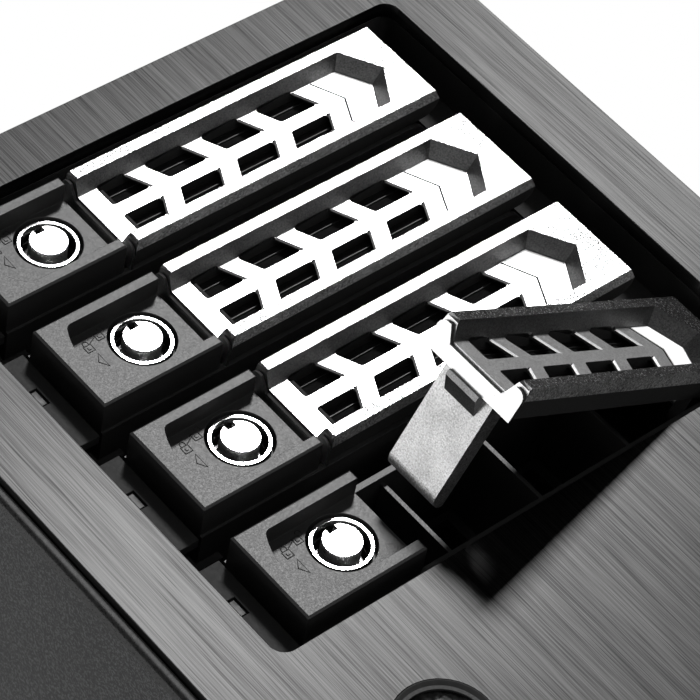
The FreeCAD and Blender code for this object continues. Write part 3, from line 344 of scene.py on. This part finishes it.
def rubber():
    """Dull black rubber with a fine grain."""
    s = Shader("rubber", roughness=0.8)
    grain = s.noise(even(2.5), detail=3.0)
    s.tones(grain, [grey(0.012), grey(0.03)])
    s.bump(grain, strength=0.4, distance_mm=0.05)
    return s.material


def circuit_board():
    """Solder mask with faint tracks below it."""
    s = Shader("circuit_board", roughness=0.35)
    tracks = s.noise(even(0.9), detail=0.0, distortion=2.0)
    mask_green = (0.006, 0.05, 0.025)
    track_green = (0.012, 0.1, 0.05)
    s.tones(tracks, [mask_green, track_green, mask_green], reach=0.08)
    s.bump(tracks, strength=0.15, distance_mm=0.03)
    return s.material


def smoky_pipe():
    """Smoky light guide, dark while it isn't lit."""
    s = Shader("smoky_pipe", roughness=0.55)
    haze = s.noise(even(1.2))
    s.tones(haze, [grey(0.008), grey(0.02)])
    s.roughness(haze, low=0.5, high=0.62)
    return s.material


def spun_black():
    """Black cap with fine turning marks, which draw the light out into a streak from its middle."""
    s = Shader("spun_black", metallic=1.0, roughness=0.3, anisotropic=0.9)
    marks = s.noise(even(1.5), detail=3.0)
    s.tones(marks, [grey(0.03), grey(0.06)])
    s.roughness(marks, low=0.26, high=0.34)
    s.tangent("Y")
    return s.material


def backing_painted_shade():
    """Near-black with little gloss, so the plates behind the grille show as dark as shade: painted shade."""
    s = Shader("backing_painted_shade", roughness=0.95)
    s.principled.inputs["Specular IOR Level"].default_value = 0.1
    grain = s.noise(even(2.0))
    s.tones(grain, [grey(0.002), grey(0.005)])
    return s.material


def dark_marks():
    """Dull dark colour of the marks beside the locks."""
    s = Shader("dark_marks", roughness=0.7)
    worn = s.noise(even(4.0), detail=2.0)
    s.tones(worn, [grey(0.003), grey(0.012)])
    return s.material


MATERIALS = {
    "brushed": brushed_aluminium(),
    # Darker, duller black for the sleeve and ledges in the bay: the duller gloss is the finish, the darker
    # colour is painted shade.
    "bezel": moulded_black("bezel_painted_shade", value=0.01, rough=0.8, grain_mm=0.4, strength=0.15),
    "bead": moulded_black("bead_black", value=0.018, rough=0.29, grain_mm=0.4, strength=0.03),
    "tray": moulded_black("tray_black", value=0.014, rough=0.5, grain_mm=0.2, strength=0.3),
    "coat": powder_coat(),
    # The cast_ finishes are lighter and darker copies of one plated casting, put on faces by where they lie
    # and face.
    "cast_face": cast_silver("cast_face", dark=0.12, light=1.0, rough=0.22, grit_mm=0.3, relief_mm=0.2),
    "cast_floor": cast_silver("cast_floor", dark=0.65, light=0.85, rough=0.42, grit_mm=0.25, relief_mm=0.02),
    # Darker copy of the casting for the lever's walls: painted shade.
    "cast_wall_painted_shade": cast_silver("cast_wall_painted_shade", dark=0.09, light=0.22, rough=0.34, grit_mm=0.25, relief_mm=0.05),
    "cast_band": cast_silver("cast_band", dark=0.2, light=1.0, rough=0.62, grit_mm=0.3, relief_mm=0.2),
    # Lighter copy of the casting for the rib bevels that face left: painted highlight.
    "cast_rib_painted_highlight": cast_silver("cast_rib_painted_highlight", dark=0.85, light=0.95, rough=0.42, grit_mm=0.25, relief_mm=0.02),
    # Black on the lever's casting where its faces lie in shade: painted shade.
    "lever_painted_shade": moulded_black("lever_painted_shade", value=0.01, rough=0.85, grain_mm=0.25, strength=0.4),
    "cast_end": cast_silver("cast_end", dark=0.85, light=0.95, rough=0.4, grit_mm=0.25, relief_mm=0.02),
    "cast_arm": cast_silver("cast_arm", dark=0.35, light=0.98, rough=0.42, grit_mm=0.25, relief_mm=0.06),
    # Darker copy of the casting for the catch tab: painted shade.
    "cast_tab_painted_shade": cast_silver("cast_tab_painted_shade", dark=0.1, light=0.3, rough=0.34, grit_mm=0.22, relief_mm=0.05),
    "chrome": polished("lock_chrome", value=0.86, rough=0.22),
    "post": polished("lock_post", value=0.9, rough=0.3),
    "pad": white_inlay(),
    "steel": plated_steel("plated_steel", value=0.5, rough=0.32),
    "cage": moulded_black("cage_coat", value=0.006, rough=0.86, grain_mm=0.4, strength=0.15),
    "rubber": rubber(),
    "board": circuit_board(),
    "connector": moulded_black("connector_black", value=0.02, rough=0.42, grain_mm=0.3, strength=0.15),
    "port": plated_steel("port_metal", value=0.62, rough=0.24),
    "pipe": smoky_pipe(),
    "fan": moulded_black("fan_black", value=0.022, rough=0.4, grain_mm=0.35, strength=0.15),
    # Darker chrome for the faces deep in the lock barrel: painted shade.
    "chrome_painted_shade": polished("chrome_painted_shade", value=0.12, rough=0.16),
    "ring": moulded_black("ring_black", value=0.012, rough=0.7, grain_mm=0.3, strength=0.1),
    "spun": spun_black(),
    # Near-black of the plates behind the grille: painted shade.
    "backing": backing_painted_shade(),
    "mark_dark": dark_marks(),
}

FINISHES = {
    "brushed": ["front_panel"],
    "tray": node_names("tray_front") + node_names("tray_carrier"),
    "coat": ["outer_cover", "base_plate", "rear_panel"],
    "post": node_names("lock_plug"),
    "steel": ["cover_screws", "cage_screws", "fan_screws"]
    + node_names("tray_screws") + node_names("lock_cam") + node_names("lever_pin"),
    "cage": ["cage_left_side", "cage_right_side", "cage_top", "cage_stand"],
    "rubber": ["rubber_feet"],
    "board": ["backplane_board", "controller_board", "button_board"],
    "connector": ["drive_sockets", "power_inlet"],
    "port": ["usb_port"],
    "pipe": ["status_light_pipes"],
    "fan": ["fan_frame", "fan_rotor"],
    "ring": ["button_ring"],
    "spun": ["button_cap"],
}

# Finishes of the lever's faces: copies of one casting, with painted shade and painted highlight among them.
LEVER_FINISHES = (
    "cast_face", "cast_floor", "cast_rib_painted_highlight", "cast_wall_painted_shade", "cast_band", "cast_end", "cast_arm", "cast_tab_painted_shade",
    "lever_painted_shade")
LOCK_FINISHES = ("chrome", "chrome_painted_shade")
BEZEL_FINISHES = ("bezel", "bead")

# Width in millimetres of the rounding on sharp edges
EDGE_WIDTHS = {
    0.5: ["cover_screws", "fan_screws"],
    0.3: node_names("tray_screws"),
    0.15: node_names("tray_front") + ["front_panel", "fan_frame", "usb_port", "power_inlet"],
    0.1: node_names("lock_barrel") + node_names("lock_plug")
    + ["button_ring", "button_cap", "front_bezel"],
}


def paint(node, finishes):
    """Puts finishes on a CAD piece, whose faces show the first until they are given another."""
    mesh = NODES[node].data
    mesh.materials.clear()
    for finish in finishes:
        mesh.materials.append(MATERIALS[finish])
    return mesh


def soften(node, width):
    """Rounds the sharp edges of a CAD piece as it is shown, with its own mesh left as it is."""
    piece = NODES[node]
    weld = piece.modifiers.new("weld", "WELD")
    weld.merge_threshold = WELD_REACH * MM
    flat = piece.modifiers.new("flat", "DECIMATE")
    flat.decimate_type = "DISSOLVE"
    flat.angle_limit = FLAT_ANGLE
    edge = piece.modifiers.new("edge", "BEVEL")
    edge.width = width * MM
    edge.segments = EDGE_SEGMENTS
    edge.limit_method = "ANGLE"
    edge.angle_limit = EDGE_ANGLE
    edge.use_clamp_overlap = True
    edge.harden_normals = True


def tray_middle(n):
    """Height of the middle of a tray's front."""
    low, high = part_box(f"tray_front_{n}")
    return (low.z + high.z) / 2


def hinge(n):
    """Place of a lever's hinge."""
    place = [j["pos_m"] for j in frame["joints"] if j["name"] == f"lever_hinge_{n}"][0]
    return Vector(place)


def lever_finish(place, normal):
    """Finish of a lever's face, from its place and normal on the closed lever. Walls and the tab get darker
    copies of the casting and faces in shade get black, all painted shade; rib bevels that face left get a
    lighter copy, painted highlight.
    """
    if place.x > LUG_X and place.y > LUG_DEPTH:
        return "lever_painted_shade"
    if place.y > ARM_DEPTH:
        return "cast_tab_painted_shade" if place.x < TAB_X else "cast_arm"
    if place.x < LEVER_END_X:
        return "cast_end" if normal.x < -FACING else "lever_painted_shade"
    if abs(place.z) > LEVER_SIDE and normal.y > -FACING:
        return "cast_band" if place.y < BAND_DEPTH else "lever_painted_shade"
    if place.y > CHANNEL_DEPTH and normal.y > -FLAT:
        return "cast_rib_painted_highlight" if normal.x < 0 and normal.y < -HALF_TURNED else "lever_painted_shade"
    # Walls get the darker copy of the casting: painted shade.
    if normal.y > -FACING:
        return "cast_wall_painted_shade"
    if place.y > CHANNEL_DEPTH + GROOVE_SHOWN:
        return "lever_painted_shade"
    return "cast_face" if place.y < CHANNEL_DEPTH / 2 else "cast_floor"


def paint_lever(n):
    """Gives each face of a lever the finish of its place, painted shade and painted highlight among them."""
    mesh = paint(f"lever_{n}", LEVER_FINISHES)
    origin = Vector((0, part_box("front_panel")[0].y, tray_middle(n)))
    pivot = hinge(n)
    closing = Matrix.Rotation(-OPEN_ANGLE if n == OPEN_TRAY else 0.0, 3, "Z")
    for face in mesh.polygons:
        place = (closing @ (face.center - pivot) + pivot - origin) / MM
        face.material_index = LEVER_FINISHES.index(lever_finish(place, closing @ face.normal))


def paint_lock(n):
    """Bright chrome at the front of the lock's barrel, and darker chrome on the faces of the groove inside
    it: painted shade.
    """
    mesh = paint(f"lock_barrel_{n}", LOCK_FINISHES)
    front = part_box(f"lock_barrel_{n}")[0].y
    for face in mesh.polygons:
        # Faces deeper than the ring get the darker chrome: painted shade.
        groove = face.center.y - front > LOCK_PAINTED_SHADE_DEPTH * MM
        face.material_index = LOCK_FINISHES.index("chrome_painted_shade" if groove else "chrome")


def paint_bezel():
    """Smoother finish on the bead round the panel than on the sleeve and ledges in the bay, whose black is
    also darker than the bead's: painted shade.
    """
    mesh = paint("front_bezel", BEZEL_FINISHES)
    low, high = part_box("front_panel")
    for face in mesh.polygons:
        inside = low.x < face.center.x < high.x and low.z < face.center.z < high.z
        face.material_index = BEZEL_FINISHES.index("bezel" if inside else "bead")


for finish, names in FINISHES.items():
    for name in names:
        paint(name, [finish])
paint_bezel()
for tray in TRAYS:
    paint_lever(tray)
    paint_lock(tray)
for edge_width, names in EDGE_WIDTHS.items():
    for name in names:
        soften(name, edge_width)


# Cross recesses in the screw heads

def head_middles(node, outward):
    """Middles of the outer faces of a group's screw heads that look one way."""
    points = [v.co for v in NODES[node].data.vertices]
    top = max(p.dot(outward) for p in points)
    heads = []
    for point in points:
        if top - point.dot(outward) > HEAD_TOUCH * MM:
            continue
        near = [head for head in heads if (head[0] - point).length < HEAD_REACH * MM]
        if near:
            near[0].append(point)
        else:
            heads.append([point])
    return [sum(head, Vector()) / len(head) for head in heads]


def cross_cutter(shape, middle, outward, radius):
    """Tapered cross that stands a little out of a screw head."""
    turn = outward.to_track_quat("Z", "Y")
    reach = CROSS_REACH * radius
    wide = CROSS_WIDE * radius
    arm = [Vector((reach, -wide)), Vector((reach, wide)), Vector((wide, wide))]
    turns = [Matrix.Rotation(math.tau / CROSS_ARMS * k, 2) for k in range(CROSS_ARMS)]
    outline = [arm_turn @ p for arm_turn in turns for p in arm]
    rims = []
    for height, scale in ((CROSS_OVER * radius, 1.0), (-CROSS_DEEP * radius, CROSS_TAPER)):
        corners = [middle + turn @ Vector((p.x * scale, p.y * scale, height)) for p in outline]
        rims.append([shape.verts.new(corner) for corner in corners])
    for rim in rims:
        shape.faces.new(rim)
    for k in range(len(outline)):
        after = (k + 1) % len(outline)
        shape.faces.new((rims[0][k], rims[0][after], rims[1][after], rims[1][k]))


def cut_crosses(node, directions, radius):
    """Cuts a cross recess into each head of a group of screws as it is shown."""
    shape = bmesh.new()
    for outward in directions:
        for middle in head_middles(node, outward):
            cross_cutter(shape, middle, outward, radius * MM)
    bmesh.ops.recalc_face_normals(shape, faces=shape.faces)
    mesh = bpy.data.meshes.new(f"{node}_cutter")
    shape.to_mesh(mesh)
    shape.free()
    cutter = bpy.data.objects.new(mesh.name, mesh)
    cutter.hide_render = True
    cutter.hide_viewport = True
    bpy.context.scene.collection.objects.link(cutter)
    recess = NODES[node].modifiers.new("recess", "BOOLEAN")
    recess.operation = "DIFFERENCE"
    recess.solver = "EXACT"
    recess.object = cutter


cut_crosses("cover_screws", (LEFT, RIGHT), COVER_HEAD_R)
cut_crosses("fan_screws", (BACK,), FAN_HEAD_R)
for tray in TRAYS:
    cut_crosses(f"tray_screws_{tray}", (FRONT,), TRAY_HEAD_R)


# Pads and backing plates in the levers, and marks beside the locks

def add_piece(name, data, material, body):
    """Adds a piece that only the scene has, and lets it ride on a body."""
    data.materials.append(material)
    piece = bpy.data.objects.new(name, data)
    bpy.context.scene.collection.objects.link(piece)
    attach(piece, body)


def slab(shape, outline, depth, thick):
    """Plate of a front outline, from a depth behind the panel's face towards the front."""
    corners = [shape.verts.new((x * MM, depth * MM, z * MM)) for x, z in outline]
    plate = shape.faces.new(corners)
    lifted = bmesh.ops.extrude_face_region(shape, geom=[plate])["geom"]
    bmesh.ops.translate(
        shape, vec=(0, -thick * MM, 0), verts=[v for v in lifted if isinstance(v, bmesh.types.BMVert)])


def on_lever(name, n, shape, material):
    """Puts a shape made on the closed lever at the place of a tray's lever, and lets it ride there."""
    bmesh.ops.recalc_face_normals(shape, faces=shape.faces)
    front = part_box("front_panel")[0].y
    bmesh.ops.translate(shape, vec=(0, front, tray_middle(n)), verts=shape.verts)
    if n == OPEN_TRAY:
        turn = Matrix.Rotation(OPEN_ANGLE, 3, "Z")
        bmesh.ops.rotate(shape, cent=hinge(n), matrix=turn, verts=shape.verts)
    mesh = bpy.data.meshes.new(f"{name}_{n}")
    shape.to_mesh(mesh)
    shape.free()
    add_piece(mesh.name, mesh, material, f"lever_swing_{n}")


def finger_pad(n):
    """Thin white plate on the channel floor, between the chevron groove and the channel's pointed end."""
    lean = PAD_LEAN * PAD_HALF
    outline = [
        (PAD_LEFT_TIP, 0), (PAD_LEFT_TIP - lean, -PAD_HALF), (PAD_END, -PAD_HALF),
        (PAD_RIGHT_TIP, 0), (PAD_END, PAD_HALF), (PAD_LEFT_TIP - lean, PAD_HALF)]
    shape = bmesh.new()
    slab(shape, outline, CHANNEL_DEPTH, PAD_THICK)
    on_lever("finger_pad", n, shape, MATERIALS["pad"])


def bar(shape, low, high, depth, thick):
    """Long plate along the lever between two heights."""
    left, right = BACKING_X
    slab(shape, [(left, low), (right, low), (right, high), (left, high)], depth, thick)


def grille_backing(n):
    """Plates in the lever's two pockets that keep light from passing the grille, coloured near-black as
    painted shade, each with a fine ridge that shows through the grille.
    """
    plates = bmesh.new()
    ridges = bmesh.new()
    near, far = BACKING_Z
    for low, high in ((near, far), (-far, -near)):
        bar(plates, low, high, BACKING_DEPTH + BACKING_THICK, BACKING_THICK)
        ridge = low + RIDGE_UP
        bar(ridges, ridge, ridge + RIDGE_WIDE, BACKING_DEPTH, RIDGE_PROUD)
    on_lever("grille_backing", n, plates, MATERIALS["backing"])
    on_lever("grille_ridges", n, ridges, MATERIALS["tray"])


def padlock_strokes(centre, swing):
    """A square body with an inner mark, and a shackle over it that stands open when it is swung aside."""
    x, z = centre
    h = PADLOCK_HALF
    m = PADLOCK_MARK
    body = [(x - h, z - h), (x + h, z - h), (x + h, z + h), (x - h, z + h), (x - h, z - h)]
    mark = [(x - m, z + m), (x - m, z - m), (x + m, z - m)]
    top = z + h + SHACKLE_RISE
    angles = [math.pi * i / ARC_STEPS for i in range(ARC_STEPS + 1)]
    arch = [(x + swing + SHACKLE_R * math.cos(a), top + SHACKLE_R * math.sin(a)) for a in angles]
    foot = (x + swing - SHACKLE_R, z + h) if not swing else arch[-1]
    return [body, mark, [(x + swing + SHACKLE_R, z + h)] + arch + [foot]]


def lock_marks(n):
    """Fine strokes on the floor of the lock's pocket: open and closed padlocks, a slash and a pointer."""
    strokes = padlock_strokes(OPEN_PADLOCK, SHACKLE_SWING) + padlock_strokes(CLOSED_PADLOCK, 0.0)
    dx, dz = SLASH_REACH
    x, z = SLASH
    strokes.append([(x - dx, z - dz), (x + dx, z + dz)])
    x, z = POINTER
    tip = (x - POINTER_REACH, z)
    strokes.append([tip, (x, z + POINTER_HALF), (x, z - POINTER_HALF), tip])
    low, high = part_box(f"lock_barrel_{n}")
    axis = (low + high) / 2
    floor_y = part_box("front_panel")[0].y + POCKET_DEPTH * MM
    curve = bpy.data.curves.new(f"lock_marks_{n}", "CURVE")
    curve.dimensions = "3D"
    curve.bevel_depth = STROKE * MM
    curve.bevel_resolution = STROKE_ROUNDING
    for stroke in strokes:
        line = curve.splines.new("POLY")
        line.points.add(len(stroke) - 1)
        for point, (px, pz) in zip(line.points, stroke):
            point.co = (axis.x + px * MM, floor_y, axis.z + pz * MM, 1.0)
    add_piece(curve.name, curve, MATERIALS["mark_dark"], f"tray_{n}")


for tray in TRAYS:
    finger_pad(tray)
    grille_backing(tray)
    lock_marks(tray)


# Studio

def camera():
    """Camera that sees the object as the photograph does."""
    low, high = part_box("front_panel")
    aim = Vector((AIM_X, low.y, high.z - AIM_BELOW_PANEL_TOP))
    data = bpy.data.cameras.new("camera")
    data.lens = LENS_MM
    data.sensor_width = SENSOR_MM
    data.clip_start = CAMERA_NEAR
    view = bpy.data.objects.new("camera", data)
    bpy.context.scene.collection.objects.link(view)
    axes = Matrix((CAMERA_RIGHT, CAMERA_UP, CAMERA_BACK)).transposed()
    view.matrix_world = Matrix.Translation(aim + CAMERA_BACK * CAMERA_DISTANCE) @ axes.to_4x4()
    bpy.context.scene.camera = view


def floor_material():
    """Pale floor that is seen from above only."""
    s = Shader("floor", roughness=FLOOR_ROUGH)
    s.principled.inputs["Base Color"].default_value = (*grey(FLOOR_GREY), 1.0)
    side = s.add("ShaderNodeNewGeometry")
    clear = s.add("ShaderNodeBsdfTransparent")
    choose = s.add("ShaderNodeMixShader")
    s.link(side.outputs["Backfacing"], choose.inputs["Fac"])
    s.link(s.principled.outputs["BSDF"], choose.inputs[1])
    s.link(clear.outputs["BSDF"], choose.inputs[2])
    s.link(choose.outputs["Shader"], s.output.inputs["Surface"])
    return s.material


def floor():
    """Square floor that doesn't show in reflections and doesn't block the lights."""
    mesh = bpy.data.meshes.new("floor")
    half = FLOOR_SIZE / 2
    corners = [(-half, -half, 0), (half, -half, 0), (half, half, 0), (-half, half, 0)]
    mesh.from_pydata(corners, [], [(0, 1, 2, 3)])
    mesh.materials.append(floor_material())
    plane = bpy.data.objects.new("floor", mesh)
    plane.visible_glossy = False
    plane.visible_shadow = False
    bpy.context.scene.collection.objects.link(plane)


def softbox(name, source, size, power):
    """A square light that faces the middle of the front."""
    low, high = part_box("front_panel")
    aim = (low + high) / 2
    data = bpy.data.lights.new(name, "AREA")
    data.size = size
    data.energy = power
    light = bpy.data.objects.new(name, data)
    direction = source.normalized()
    light.location = aim + direction * LIGHT_DISTANCE
    light.rotation_mode = "QUATERNION"
    light.rotation_quaternion = direction.to_track_quat("Z", "Y")
    bpy.context.scene.collection.objects.link(light)


def world():
    """White behind the object, with a weak even fill."""
    sky = bpy.data.worlds.new("studio")
    bpy.context.scene.world = sky
    sky.use_nodes = True
    tree = sky.node_tree
    tree.nodes.clear()
    path = tree.nodes.new("ShaderNodeLightPath")
    fill = tree.nodes.new("ShaderNodeBackground")
    fill.inputs["Color"].default_value = (WORLD_FILL, WORLD_FILL, WORLD_FILL, 1.0)
    white = tree.nodes.new("ShaderNodeBackground")
    white.inputs["Color"].default_value = (1.0, 1.0, 1.0, 1.0)
    choose = tree.nodes.new("ShaderNodeMixShader")
    output = tree.nodes.new("ShaderNodeOutputWorld")
    tree.links.new(path.outputs["Is Camera Ray"], choose.inputs["Fac"])
    tree.links.new(fill.outputs["Background"], choose.inputs[1])
    tree.links.new(white.outputs["Background"], choose.inputs[2])
    tree.links.new(choose.outputs["Shader"], output.inputs["Surface"])


camera()
floor()
for light_name, settings in LIGHTS.items():
    softbox(light_name, **settings)
world()
bpy.context.scene.view_settings.view_transform = "Standard"
